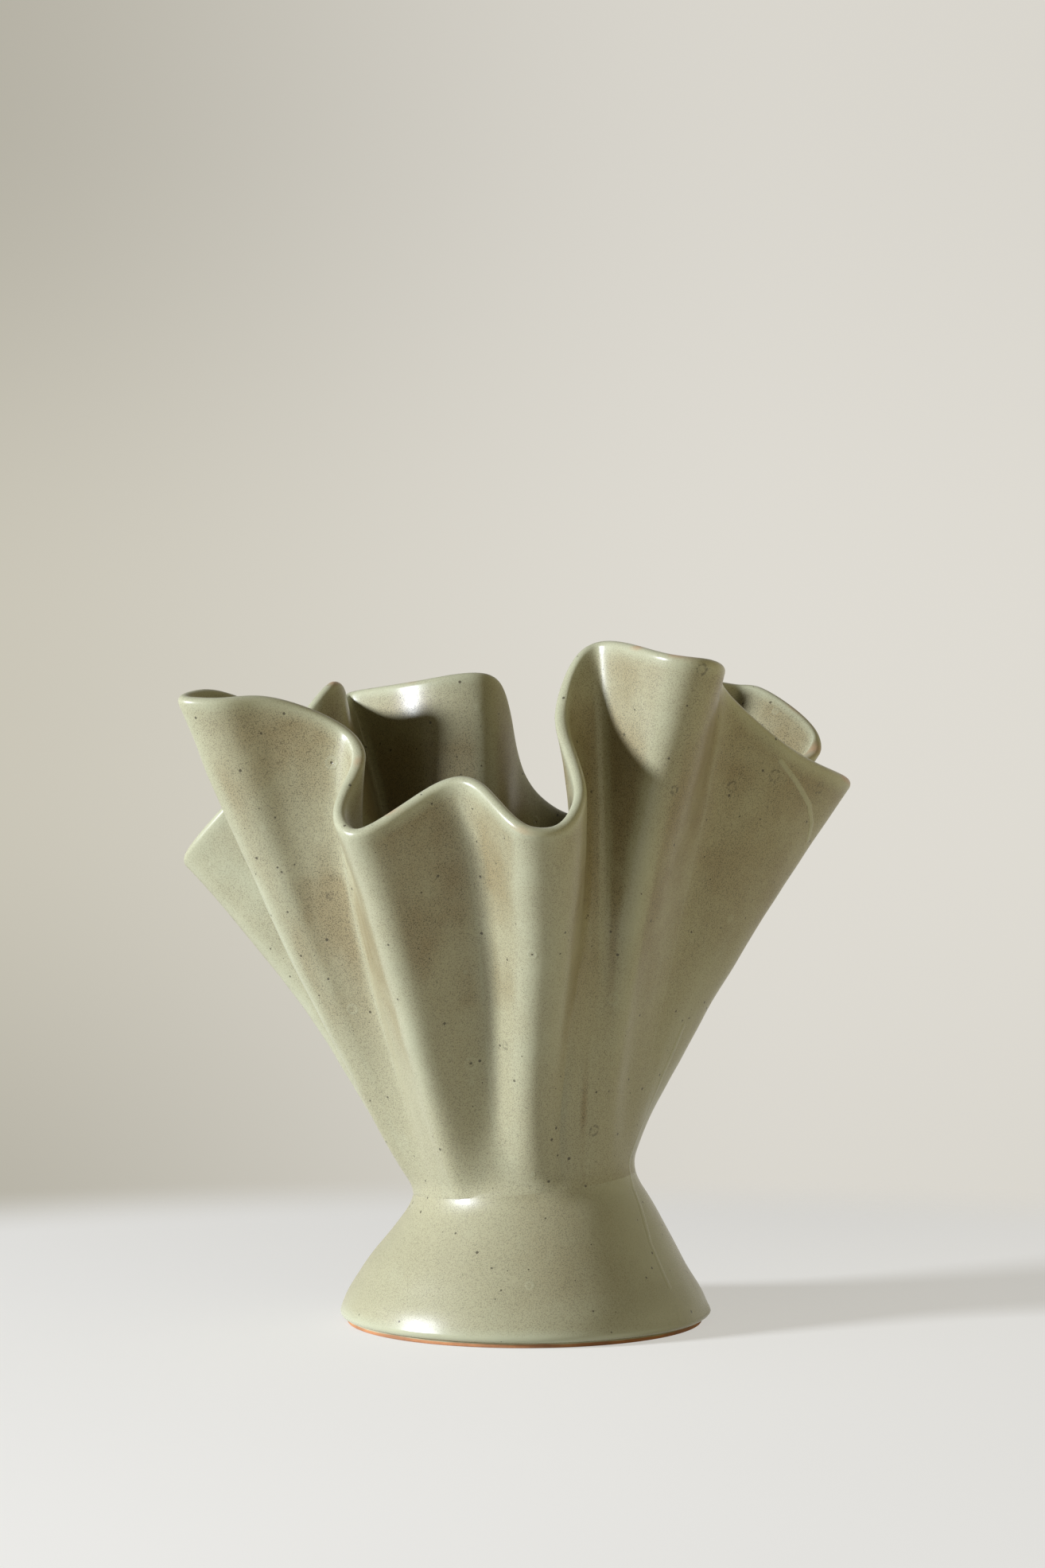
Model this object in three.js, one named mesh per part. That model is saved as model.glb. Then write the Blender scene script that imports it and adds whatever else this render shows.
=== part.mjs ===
// Ruffled pedestal vase of glazed earthenware, built by hand from separate pieces of clay.
// Millimetres, +Z up. The origin is on the table under the middle of the foot, and -Y is the front.
import * as THREE from "three";

// Bare clay ring that the vase stands on.
const RING_RADIUS = 70.5;
const RING_WIDTH = 8.5;
const RING_HEIGHT = 2;
const RING_CHAMFER = 0.5;

// Hollow pedestal foot. The belly point is the control point of its rounded flank.
const FOOT_RADIUS = 73;
const FOOT_ROLL_HEIGHT = 2.4;
const FOOT_BELLY_RADIUS = 69.2;
const FOOT_BELLY_HEIGHT = 16.6;
const FOOT_WALL = 8.5;

// Waist, where the bowl stands on the foot. The fillet is clay that is smoothed over the joint.
const WAIST_RADIUS = 42.2;
const WAIST_HEIGHT = 55;
const WAIST_FILLET = 1.9;

// Floor disc that closes the bowl. It lies on a ledge inside the top of the foot.
const FLOOR_THICKNESS = 8;
const LEDGE_WIDTH = 6;
const LEDGE_THICKNESS = 5;
const CLEARANCE = 0.3;

// Coil of clay pressed into the corner between the floor and the wall.
const COIL_HEIGHT = 4.5;
const COIL_WIDTH = 5;

// Ruffled wall of the bowl. The lean is how far it leans towards -X, most of all a third of the way up.
const WALL = 5;
const RIM_RADIUS = 105;
const RIM_HEIGHT = 230;
const LEAN = 2.7;

// Folds of the wall, counter-clockwise from the front left seen from above. Each fold is a line
// from the waist to the rim. root and bearing are its directions there in degrees, counted from +X.
// out and up place the rim against RIM_RADIUS and RIM_HEIGHT. Where they are given, bow and flare are
// how far the line swells at half height and two thirds of the way up, and sway is how far it is
// carried counter-clockwise two thirds of the way up.
const FOLDS = [
  { name: "front left ridge", root: 237, bearing: 238.3, out: 12, up: -36, bow: -1, sway: 1 },
  { name: "front valley", root: 259, bearing: 256, out: -9, up: -13, bow: -13, flare: 7, sway: 1.5 },
  { name: "front ridge", root: 275, bearing: 271.3, out: 14, up: -34, bow: -7, sway: 2.5 },
  { name: "front ridge end", root: 284, bearing: 277.2, out: 8.5, up: -31, bow: -7, sway: 2.5 },
  { name: "front ridge flank", root: 290, bearing: 282, out: -4, up: -18, bow: -6, sway: 2.5 },
  { name: "tall valley flank", root: 295, bearing: 281, out: -37, up: 9, bow: 8, sway: 6.5 },
  { name: "tall valley", root: 302, bearing: 292.9, out: -48.5, up: 28, bow: 12, sway: 2 },
  { name: "tall valley end", root: 310, bearing: 301.4, out: -42.5, up: 35.5, bow: 11.5, sway: -1.5 },
  { name: "tall ridge", root: 322, bearing: 303.4, out: -2, up: 30, bow: -1.5, sway: 3.5 },
  { name: "tall ridge end", root: 335, bearing: 313.5, out: 1.8, up: 25, bow: -7 },
  { name: "right valley", root: 348, bearing: 337, out: -24, up: 20, bow: 3 },
  { name: "right ridge flank", root: 355, bearing: 355, out: 0, up: -6, bow: -2 },
  { name: "right ridge", root: 7, bearing: 15, out: 32, up: -19, bow: -5.6 },
  { name: "right inner valley", root: 20, bearing: 23.2, out: -12.5, up: -17, bow: 5 },
  { name: "right inner valley back", root: 26, bearing: 28.4, out: -7.2, up: -17, bow: 4 },
  { name: "back right ridge", root: 36, bearing: 29.4, out: 37.7, up: -3.5, bow: -9 },
  { name: "back right peak", root: 46, bearing: 43.4, out: 33, up: 20, bow: -5 },
  { name: "back right dip", root: 53, bearing: 49.5, out: 33, up: 21, bow: -2 },
  { name: "back right valley", root: 62, bearing: 57, out: -21, up: 24, bow: 4 },
  { name: "back ridge", root: 80, bearing: 77, out: 16, up: -36, bow: -6 },
  { name: "back valley flank", root: 95, bearing: 91.2, out: -13, up: -18 },
  { name: "back valley corner", root: 100, bearing: 97.1, out: -24.4, up: 21 },
  { name: "back valley", root: 106, bearing: 105.1, out: -32, up: 26 },
  { name: "back left wall", root: 117, bearing: 121.5, out: -17, up: 22, bow: -3 },
  { name: "back left ridge", root: 126, bearing: 126.1, out: 22.4, up: 18, bow: -6 },
  { name: "back left flank", root: 134, bearing: 138, out: -3, up: 13 },
  { name: "left valley", root: 142, bearing: 150, out: -14, up: 24, bow: 5 },
  { name: "left ridge back", root: 155, bearing: 171, out: 25, up: -48, bow: -4, flare: -2 },
  { name: "left ridge", root: 165, bearing: 176.8, out: 30, up: -47, bow: -4, flare: -2 },
  { name: "left inner valley back", root: 174, bearing: 190, out: -8, up: -2, bow: 4 },
  { name: "left inner valley", root: 180, bearing: 197, out: -4, up: 8, bow: 4 },
  { name: "tall left ridge back", root: 186, bearing: 197.8, out: 20.8, up: 18, bow: 2 },
  { name: "tall left ridge", root: 191, bearing: 202.4, out: 37.1, up: 15, bow: 4 },
  { name: "tall left ridge front", root: 197, bearing: 207.7, out: 26.7, up: 14, flare: 4 },
  { name: "tall left ridge flank", root: 203, bearing: 210.1, out: 7.5, up: 15, flare: 7 },
  { name: "front left valley", root: 212, bearing: 219, out: -15.5, up: 4, flare: 8 },
  { name: "front left valley flank", root: 220, bearing: 226.9, out: -13.5, up: -6, flare: 11 },
  { name: "front left ridge flank", root: 229, bearing: 231, out: 6, up: -27, bow: -6, sway: -3 },
];

// How finely the surfaces are divided.
const ROUND_STEPS = 64;
const FOLD_STEPS = 4;
const WALL_STEPS = 11;
const LIP_STEPS = 6;

const GLAZE = { color: 0x8f9078, roughness: 0.3, metalness: 0 };
const CLAY = { color: 0xb06a45, roughness: 0.85, metalness: 0 };

// A named mesh with a material of its own.
function makeMesh(name, geometry, finish) {
  const mesh = new THREE.Mesh(geometry, new THREE.MeshStandardMaterial(finish));
  mesh.name = name;
  return mesh;
}

// Turns a closed outline of [radius, height] corners, counter-clockwise, about the Z axis.
function turned(corners) {
  const outline = corners.map(([radius, height]) => new THREE.Vector2(radius, height));
  outline.push(outline[0].clone());
  return new THREE.LatheGeometry(outline, ROUND_STEPS).rotateX(Math.PI / 2);
}

// Points of a quadratic curve as [radius, height], both ends included.
function bend(start, control, end, steps) {
  const [a, b, c] = [start, control, end].map(([radius, height]) => new THREE.Vector2(radius, height));
  const curve = new THREE.QuadraticBezierCurve(a, b, c);
  return curve.getPoints(steps).map((point) => [point.x, point.y]);
}

function makeRing() {
  const inner = RING_RADIUS - RING_WIDTH;
  return turned([
    [inner + RING_CHAMFER, 0],
    [RING_RADIUS - RING_CHAMFER, 0],
    [RING_RADIUS, RING_CHAMFER],
    [RING_RADIUS, RING_HEIGHT],
    [inner, RING_HEIGHT],
    [inner, RING_CHAMFER],
  ]);
}

function makeFoot() {
  const rollTop = RING_HEIGHT + FOOT_ROLL_HEIGHT;
  const socket = WAIST_RADIUS - WALL;
  const ledgeTop = WAIST_HEIGHT - FLOOR_THICKNESS;
  const ledgeRadius = socket - LEDGE_WIDTH;
  const hollowTop = ledgeTop - LEDGE_THICKNESS;
  const roll = bend([RING_RADIUS, RING_HEIGHT], [FOOT_RADIUS, RING_HEIGHT], [FOOT_RADIUS, rollTop], 3);
  const flank = bend(
    [FOOT_RADIUS, rollTop],
    [FOOT_BELLY_RADIUS, FOOT_BELLY_HEIGHT],
    [WAIST_RADIUS + WAIST_FILLET, WAIST_HEIGHT],
    12,
  );
  const hollow = bend(
    [ledgeRadius, hollowTop],
    [FOOT_BELLY_RADIUS - FOOT_WALL, FOOT_BELLY_HEIGHT],
    [RING_RADIUS - RING_WIDTH, RING_HEIGHT],
    9,
  );
  return turned([
    ...roll,
    ...flank.slice(1),
    [socket, WAIST_HEIGHT],
    [socket, ledgeTop],
    [ledgeRadius, ledgeTop],
    ...hollow,
  ]);
}

function makeFloor() {
  const radius = WAIST_RADIUS - WALL - CLEARANCE;
  const bottom = WAIST_HEIGHT - FLOOR_THICKNESS;
  const disc = new THREE.CylinderGeometry(radius, radius, FLOOR_THICKNESS, ROUND_STEPS);
  return disc.rotateX(Math.PI / 2).translate(0, 0, bottom + FLOOR_THICKNESS / 2);
}

function makeCoil() {
  const outer = WAIST_RADIUS - WALL - CLEARANCE;
  const top = WAIST_HEIGHT + COIL_HEIGHT;
  const face = bend(
    [outer, top],
    [outer - COIL_WIDTH * 0.25, WAIST_HEIGHT + COIL_HEIGHT * 0.25],
    [outer - COIL_WIDTH, WAIST_HEIGHT],
    6,
  );
  return turned([[outer, WAIST_HEIGHT], ...face]);
}

// Point at a distance from the axis, in a direction in degrees, at a height.
function polar(bearing, radius, height) {
  const angle = THREE.MathUtils.degToRad(bearing);
  return new THREE.Vector3(radius * Math.cos(angle), radius * Math.sin(angle), height);
}

// Point of a fold line in the middle of the clay, from the waist (v = 0) to the rim (v = 1).
function foldPoint({ root, bearing, out, up, bow = 0, flare = 0, sway = 0 }, v) {
  const start = polar(root, WAIST_RADIUS - WALL / 2, WAIST_HEIGHT);
  const end = polar(bearing, RIM_RADIUS + out, RIM_HEIGHT + up);
  const half = 4 * v * (1 - v);
  const third = 6.75 * v * (1 - v) * (1 - v);
  const twoThirds = 6.75 * v * v * (1 - v);
  const swell = polar(bearing, bow * half + flare * twoThirds, 0);
  const shift = polar(bearing + 90, sway * twoThirds, 0);
  const lean = new THREE.Vector3(-LEAN * third, 0, 0);
  return start.lerp(end, v).add(swell).add(shift).add(lean);
}

// One row of the middle of the wall, a smooth closed curve through all the folds.
function wallRow(v) {
  const curve = new THREE.CatmullRomCurve3(FOLDS.map((fold) => foldPoint(fold, v)), true);
  const row = curve.getPoints(FOLDS.length * FOLD_STEPS).slice(0, -1);
  if (v === 0) {
    row.forEach((point) => point.setZ(0).setLength(WAIST_RADIUS - WALL / 2).setZ(WAIST_HEIGHT));
  }
  return row;
}

// Outward direction of the wall at a grid point, level along the flat bottom edge.
function wallNormal(rows, j, i) {
  const count = rows[j].length;
  const around = rows[j][(i + 1) % count].clone().sub(rows[j][(i + count - 1) % count]);
  const above = rows[Math.min(j + 1, rows.length - 1)][i];
  const below = rows[Math.max(j - 1, 0)][i];
  const normal = around.cross(above.clone().sub(below));
  if (j === 0) {
    normal.setZ(0);
  }
  return normal.normalize();
}

// Closed section through the wall at one place: up the outside, over the round lip, down the inside.
function wallSection(rows, i) {
  const half = WALL / 2;
  const last = rows.length - 1;
  const outside = rows.map((row, j) => row[i].clone().addScaledVector(wallNormal(rows, j, i), half));
  outside[0].addScaledVector(wallNormal(rows, 0, i), WAIST_FILLET);
  const inside = rows.map((row, j) => row[i].clone().addScaledVector(wallNormal(rows, j, i), -half));
  const across = wallNormal(rows, last, i);
  const rise = rows[last][i].clone().sub(rows[last - 1][i]);
  const along = rise.addScaledVector(across, -rise.dot(across)).normalize();
  const lip = [];
  for (let k = 1; k < LIP_STEPS; k += 1) {
    const turn = (Math.PI * k) / LIP_STEPS;
    const point = rows[last][i].clone();
    point.addScaledVector(across, half * Math.cos(turn));
    point.addScaledVector(along, half * Math.sin(turn));
    lip.push(point);
  }
  return [...outside, ...lip, ...inside.reverse()];
}

function makeWall() {
  const rows = [];
  for (let j = 0; j <= WALL_STEPS; j += 1) {
    rows.push(wallRow(j / WALL_STEPS));
  }
  const sections = rows[0].map((point, i) => wallSection(rows, i));
  const length = sections[0].length;
  const index = [];
  for (let i = 0; i < sections.length; i += 1) {
    const next = (i + 1) % sections.length;
    for (let k = 0; k < length; k += 1) {
      const up = (k + 1) % length;
      const [a, b, c, d] = [i * length + k, next * length + k, next * length + up, i * length + up];
      index.push(a, b, c, a, c, d);
    }
  }
  const geometry = new THREE.BufferGeometry().setFromPoints(sections.flat());
  geometry.setIndex(index);
  geometry.computeVertexNormals();
  return geometry;
}

const vase = new THREE.Group();
vase.name = "vase";
vase.add(makeMesh("foot_ring", makeRing(), CLAY));
vase.add(makeMesh("pedestal_foot", makeFoot(), GLAZE));
vase.add(makeMesh("bowl_floor", makeFloor(), GLAZE));
vase.add(makeMesh("floor_coil", makeCoil(), GLAZE));
vase.add(makeMesh("ruffled_wall", makeWall(), GLAZE));

export default vase;
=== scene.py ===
"""Dresses a ruffled pedestal vase: folded wall, foot, floor, coil, clay ring and a plain stage.

Lengths are metres unless a name or comment says millimetres. +Z is up and -Y is the vase's front.
"""

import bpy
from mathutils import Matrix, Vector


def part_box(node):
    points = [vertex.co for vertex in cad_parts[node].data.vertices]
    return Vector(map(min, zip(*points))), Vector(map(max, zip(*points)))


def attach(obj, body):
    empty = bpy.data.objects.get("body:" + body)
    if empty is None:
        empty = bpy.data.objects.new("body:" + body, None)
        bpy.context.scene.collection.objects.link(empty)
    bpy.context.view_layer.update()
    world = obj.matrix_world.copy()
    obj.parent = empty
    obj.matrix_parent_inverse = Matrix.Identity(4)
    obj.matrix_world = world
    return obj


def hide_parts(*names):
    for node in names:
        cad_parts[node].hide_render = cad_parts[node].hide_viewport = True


bl_info = {
    "name": "Ruffled pedestal vase",
    "version": (1, 0, 0),
    "blender": (4, 5, 0),
    "location": "View3D > Sidebar > Vase",
    "description": "Makes the glazed pieces of a hand-folded pedestal vase and a plain stage",
    "category": "Add Mesh",
}

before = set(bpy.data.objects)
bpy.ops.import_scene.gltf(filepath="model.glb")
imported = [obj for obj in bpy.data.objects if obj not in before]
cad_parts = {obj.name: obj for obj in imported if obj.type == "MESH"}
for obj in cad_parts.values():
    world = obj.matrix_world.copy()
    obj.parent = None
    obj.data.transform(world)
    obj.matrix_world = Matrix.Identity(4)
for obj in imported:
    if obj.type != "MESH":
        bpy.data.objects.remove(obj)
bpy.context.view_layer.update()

import math

import bmesh
import bpy
import numpy as np
from bpy.props import FloatProperty, FloatVectorProperty, IntProperty, PointerProperty
from mathutils import Vector, noise

MM = 0.001
RING_LOW, RING_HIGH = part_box("foot_ring")
FOOT_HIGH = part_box("pedestal_foot")[1]
FLOOR_LOW, FLOOR_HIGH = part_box("bowl_floor")
COIL_LOW, COIL_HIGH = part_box("floor_coil")

# Points closer than the first are one point. A length or an area below the second is nothing.
TINY_LENGTH = 1e-6
NOTHING = 1e-12
SEED_STEP = 7.31

# Folds of the wall, counter-clockwise from the front left seen from above. Each is a line from the
# waist to the rim: its name, its bearing at the waist and at the rim in degrees from +X, then in
# millimetres how far its rim stands outside the rim radius and above the rim height, how far it
# swells at half height and at two thirds, and how far it sways counter-clockwise at two thirds.
FOLDS = (
    ("front left ridge", 237, 238.3, 12, -36, -1, 0, 1),
    ("front valley", 259, 256, -9, -13, -13, 7, 1.5),
    ("front ridge", 275, 269, 13.2, -32.5, -7, 0, 2.5),
    ("front ridge end", 284, 276.6, 10.6, -33.2, -7, 0, 2.5),
    ("front ridge flank", 290, 282, -4, -18, -6, 0, 2.5),
    ("tall valley flank", 295, 281, -37, 9, 8, 0, 6.5),
    ("tall valley", 302, 291, -47.5, 31.5, 12, 0, 2),
    ("tall valley end", 310, 300.9, -45.5, 36.3, 11.5, 0, -1.5),
    ("tall ridge", 322, 303, -4.6, 30, -1.5, 0, 1),
    ("tall ridge end", 335, 312.4, 2.2, 28, -7, 0, 0),
    ("right valley", 348, 337, -24, 20, 3, 0, 0),
    ("right ridge flank", 355, 355, 0, -6, -2, 0, 0),
    ("right ridge", 7, 15, 32, -19, -5.6, 0, 0),
    ("right inner valley", 20, 23.2, -12.5, -17, 5, 0, 0),
    ("right inner valley back", 26, 28.4, -7.2, -17, 4, 0, 0),
    ("back right ridge", 36, 29.4, 37.7, -3.5, -9, 0, 0),
    ("back right peak", 46, 43.4, 33, 20, -5, 0, 0),
    ("back right dip", 53, 49.5, 33, 21, -2, 0, 0),
    ("back right valley", 62, 57, -21, 24, 4, 0, 0),
    ("back ridge", 80, 77, 16, -36, -6, 0, 0),
    ("back valley flank", 95, 91.2, -13, -18, 0, 0, 0),
    ("back valley corner", 100, 97.1, -24.4, 21, 0, 0, 0),
    ("back valley", 106, 105.1, -32, 26, 0, 0, 0),
    ("back left wall", 117, 121.5, -17, 22, -3, 0, 0),
    ("back left ridge", 126, 126.1, 22.4, 18, -6, 0, 0),
    ("back left flank", 134, 138, -3, 13, 0, 0, 0),
    ("left valley", 142, 150, -14, 24, 5, 0, 0),
    ("left ridge back", 155, 171, 25, -48, -4, -2, 0),
    ("left ridge", 165, 176.8, 30, -47, -4, -2, 0),
    ("left inner valley back", 174, 190, -8, -2, 4, 0, 0),
    ("left inner valley", 180, 197, -4, 8, 4, 0, 0),
    ("tall left ridge back", 186, 197.8, 20.8, 18, 2, 0, 0),
    ("tall left ridge", 191, 202.4, 37.1, 15, 4, 0, 0),
    ("tall left ridge front", 197, 207.7, 26.7, 14, 0, 4, 0),
    ("tall left ridge flank", 203, 210.1, 7.5, 15, 0, 7, 0),
    ("front left valley", 212, 219, -15.5, 4, 0, 8, 0),
    ("front left valley flank", 220, 226.9, -13.5, -6, 0, 11, 0),
    ("front left ridge flank", 229, 231, 6, -27, -2.5, 0, -1.5),
)
NAMES = [fold[0] for fold in FOLDS]
# These make a swell of 1 where it is strongest: at half height, and at one or two thirds.
HALF_PEAK = 4
THIRD_PEAK = 6.75

# Folds with a pale line, and the one with a dark run.
PALE_LINES = ("front valley", "right valley", "front left valley")
DARK_LINE = "tall valley"
# How much thicker the glaze lies on some folds, over their whole height and near the waist only,
# and how much browner others are, halfway up and near the rim, less so where negative. Halfway
# up this is partly thin glaze and partly painted shade on faces turned from the light; near the
# rim it is painted shade. 1 is pale or brown throughout.
THICK_GLAZE = {"left ridge back": 0.4, "left ridge": 0.55, "left inner valley back": 0.5}
WAIST_POOL = {"right ridge flank": 0.5, "right ridge": 0.7, "right inner valley": 0.4}
# Brown halfway up: partly thin glaze, partly painted shade on faces turned from the light.
THIN_GLAZE_AND_SHADE = {
    "tall left ridge front": 0.25, "tall left ridge flank": 0.5, "front left valley": 0.4,
    "front left ridge": 0.3, "front valley": 0.2, "front ridge": -0.5, "tall ridge": 0.1,
    "tall ridge end": 0.5, "right valley": -0.1, "right ridge flank": -0.2,
}
# Painted shade near the rim, in the valley right of the tall ridge, laid on as brown glaze.
RIM_SHADE = {"tall ridge end": 0.4, "right valley": 0.7}
# Where these come and go, as shares of the way from the waist to the rim.
LINE_START, LINE_FADE = (0.06, 0.3), (0.75, 1.0)
RIDGE_START = (0.15, 0.45)
BROAD_START = (0.25, 0.6)
POOL_FADE = (0.3, 0.75)
RIM_START = (0.55, 0.8)
# Radius of the sharpest bend, the shares of it over which the wall stops being level, and the width
# of the lip's own glaze.
SHARP_BEND, LEVEL_BENDS = 0.010, (0.25, 0.9)
LIP_BAND = 0.005
# How pale the lip, ridges and lines are, what the lines lose at the rim, how brown the dark run
# is, and how brown the inside is: brown glaze deepened there as painted shade in the bowl's hollow.
LIP_PALE, BEND_PALE, LINE_LOSS = 0.6, 0.3, 0.5
DARK_BROWN, INSIDE_BROWN_AND_SHADE = 1.4, 1.2
# The pattern of the runs is wrapped round this radius and drawn out by this share of its height.
FLOW_RADIUS, FLOW_STRETCH = 0.09, 0.12
FOOT_FLOW_STRETCH = 0.15

# Burst bubbles on the outside of the wall: x, y, z and radius in millimetres.
BUBBLES = (
    (66.5, -86.0, 256.4, 2.6), (98.6, -12.8, 216.2, 2.3), (81.3, -21.6, 212.2, 1.9),
    (117.6, 7.1, 211.1, 2.1), (57.3, -69.0, 211.1, 1.9), (27.3, -40.0, 79.1, 2.1),
    (-7.1, -60.3, 114.3, 1.6), (-73.0, -50.0, 178.1, 1.3), (-75.0, -47.5, 170.4, 1.2),
)
# Thin runs of glaze down the right side: points x, y, z in millimetres.
RUNS = (
    (
        (100.9, -13.0, 222.0), (107.2, -5.3, 214.4), (113.7, 6.6, 204.2),
        (115.2, 13.6, 196.7), (114.2, 17.6, 190.1),
    ),
    (
        (63.3, -3.2, 116.9), (55.7, -4.0, 99.1), (49.3, -4.2, 81.1),
        (41.6, -11.0, 66.0), (43.2, -17.7, 52.0),
    ),
    ((43.2, -17.7, 52.0), (49.6, -30.4, 35.0), (56.2, -35.7, 18.5)),
)


def number(name, description, default, **options):
    """A number, with its unit and limits as options."""
    return FloatProperty(name=name, description=description, default=default, **options)


def length(name, description, default):
    """A size in metres."""
    return number(name, description, default, unit="LENGTH")


def tint(name, description, default):
    """A colour."""
    return FloatVectorProperty(
        name=name, description=description, subtype="COLOR", size=3, min=0, max=1, default=default
    )


class VaseSizes(bpy.types.PropertyGroup):
    """Sizes of the clay."""

    wall: length("Wall", "Thickness of the ruffled wall", 0.005)
    waist_radius: length("Waist radius", "Outside of the wall where it stands on the foot", 0.0422)
    rim_radius: length("Rim radius", "Mean radius that the rim's folds are counted from", 0.105)
    rim_height: length("Rim height", "Mean height that the rim's folds are counted from", 0.230)
    lean: length("Lean", "How far the wall leans to the left at one third of its height", 0.0027)
    waist_fillet: length(
        "Waist fillet", "How far the clay that is smoothed over the joint stands out", 0.0019
    )
    waist_reach: length(
        "Waist reach", "How far the smoothed clay runs up and down from the joint", 0.007
    )
    waist_tilt: number("Waist tilt", "Slope of the joint, down to the left", 0.10)
    belly_radius: length("Belly radius", "Pull of the foot's flank outwards", 0.0692)
    belly_height: length("Belly height", "Height of that pull", 0.0166)
    roll_height: length("Glaze roll", "Height of the thick glaze along the lower edge", 0.0024)
    ring_width: length("Ring width", "Width of the clay ring under the foot", 0.0085)
    ledge_width: length("Ledge width", "How far the ledge under the floor stands in", 0.006)
    ledge_thickness: length("Ledge thickness", "Thickness of the ledge under the floor", 0.005)
    coil_width: length("Coil width", "Width of the coil in the corner of the floor", 0.005)
    unevenness: length(
        "Unevenness", "How far the hand-pressed clay strays from an even surface", 0.0006
    )
    columns: IntProperty(
        name="Columns per fold",
        description="How finely each fold is divided around the vase",
        default=17,
    )


class VaseGlaze(bpy.types.PropertyGroup):
    """Colours of the glaze and the clay."""

    pale: tint("Pale glaze", "Thick glaze along lips, ridges and creases", (0.427, 0.433, 0.296))
    sage: tint("Sage glaze", "Glaze of middling thickness", (0.379, 0.358, 0.227))
    # Brown also serves as painted shade on some faces and inside the bowl.
    brown: tint("Brown glaze", "Thin glaze in the middle of the broad faces", (0.300, 0.252, 0.138))
    speck: tint("Specks", "Iron specks in the glaze", (0.050, 0.041, 0.025))
    clay: tint("Bare clay", "Fired clay without glaze", (0.46, 0.205, 0.085))


class VaseStage(bpy.types.PropertyGroup):
    """Floor, background, lamp and camera."""

    floor: tint("Floor", "Colour of the floor", (0.865, 0.850, 0.810))
    left: tint("Background left", "Colour of the background on the left", (0.575, 0.545, 0.455))
    right: tint("Background right", "Colour of the background on the right", (0.735, 0.710, 0.650))
    fill: tint("Fill", "Colour of the fill light from the right", (0.89, 0.755, 0.37))
    dim: tint("Dim fill", "Colour of the fill from overhead and the left", (0.050, 0.045, 0.033))
    shadow: number(
        "Light shadow", "Share of the floor's colour that its shadow keeps", 0.55,
        min=0, max=1, subtype="FACTOR",
    )
    key_power: number("Key lamp", "Power of the soft lamp on the left", 112.0, unit="POWER")
    key_size: length("Key lamp size", "Width of the soft lamp on the left", 0.50)
    lens: number("Lens", "Focal length of the camera", 85.0, unit="CAMERA")


class VaseSettings(bpy.types.PropertyGroup):
    """Everything that can be changed on the vase."""

    sizes: PointerProperty(type=VaseSizes)
    glaze: PointerProperty(type=VaseGlaze)
    stage: PointerProperty(type=VaseStage)


def polar(bearing, radius, height):
    """Points at these bearings in degrees, as rows of x, y, z."""
    turn = np.radians(np.asarray(bearing, float))
    return np.stack([radius * np.cos(turn), radius * np.sin(turn), height + 0 * turn], -1)


def fold_lines(sizes, shares):
    """The wall's middle on every fold at these shares of the way from waist to rim."""
    root, bearing, out, up, bow, flare, sway = np.array([fold[1:] for fold in FOLDS]).T
    start = polar(root, sizes.waist_radius - sizes.wall / 2, FOOT_HIGH.z)
    end = polar(bearing, sizes.rim_radius + out * MM, sizes.rim_height + up * MM)
    v = np.asarray(shares)[:, None, None]
    middle = HALF_PEAK * v * (1 - v)
    upper, lower = THIRD_PEAK * v**2 * (1 - v), THIRD_PEAK * v * (1 - v) ** 2
    swell = polar(bearing, bow * MM, 0) * middle + polar(bearing, flare * MM, 0) * upper
    shift = polar(bearing + 90, sway * MM, 0) * upper + np.array((-sizes.lean, 0, 0)) * lower
    return start + (end - start) * v + swell + shift


def round_curve(knots, steps):
    """Closed smooth curves through rows of knots, with this many steps to a span."""
    before, here, after, later = (np.roll(knots, -k, axis=1) for k in (-1, 0, 1, 2))

    def gap(a, b):
        return np.sqrt(np.linalg.norm(a - b, axis=2, keepdims=True))

    d0, d1, d2 = gap(before, here), gap(here, after), gap(after, later)
    leave = ((here - before) / d0 - (after - before) / (d0 + d1) + (after - here) / d1) * d1
    arrive = ((after - here) / d1 - (later - here) / (d1 + d2) + (later - after) / d2) * d1
    t = (np.arange(steps) / steps)[None, None, :, None]
    h, n, a, b = (x[:, :, None, :] for x in (here, after, leave, arrive))
    curve = h + a * t + (3 * n - 3 * h - 2 * a - b) * t**2 + (2 * h - 2 * n + a + b) * t**3
    return curve.reshape(len(knots), -1, 3)


def eased(rows, passes):
    """Rows with their kinks rounded off around the vase."""
    for _ in range(passes):
        rows = (np.roll(rows, 1, axis=1) + 2 * rows + np.roll(rows, -1, axis=1)) / 4
    return rows


def unit(vectors):
    """Vectors of length one."""
    return vectors / np.maximum(np.linalg.norm(vectors, axis=-1, keepdims=True), NOTHING)


def outward(rows):
    """Outward normals of the rows, level at the foot of the wall."""
    around = np.roll(rows, -1, axis=1) - np.roll(rows, 1, axis=1)
    normal = np.cross(around, np.gradient(rows, axis=0))
    normal[0, :, 2] = 0
    return unit(normal)


def bend_of(rows, normal):
    """Curvature around the vase, positive on ridges, as a share of the sharpest bend."""
    ahead, behind = np.roll(rows, -1, axis=1) - rows, rows - np.roll(rows, 1, axis=1)
    turn = unit(ahead) - unit(behind)
    reach = (np.linalg.norm(ahead, axis=2) + np.linalg.norm(behind, axis=2)) / 2
    return -np.sum(turn * normal, axis=2) / np.maximum(reach, TINY_LENGTH) * SHARP_BEND


def soft_noise(points, size, seed):
    """Smooth noise from -1 to 1 with features of this size at each point."""
    flat = points.reshape(-1, 3) / size + seed * SEED_STEP
    return np.array([noise.noise(Vector(p)) for p in flat]).reshape(points.shape[:-1])


def dents(points, broad, fine, share, seed):
    """Broad dents that hands leave, with a share of finer ones between them."""
    return soft_noise(points, broad, seed) + share * soft_noise(points, fine, seed + 1)


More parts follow.
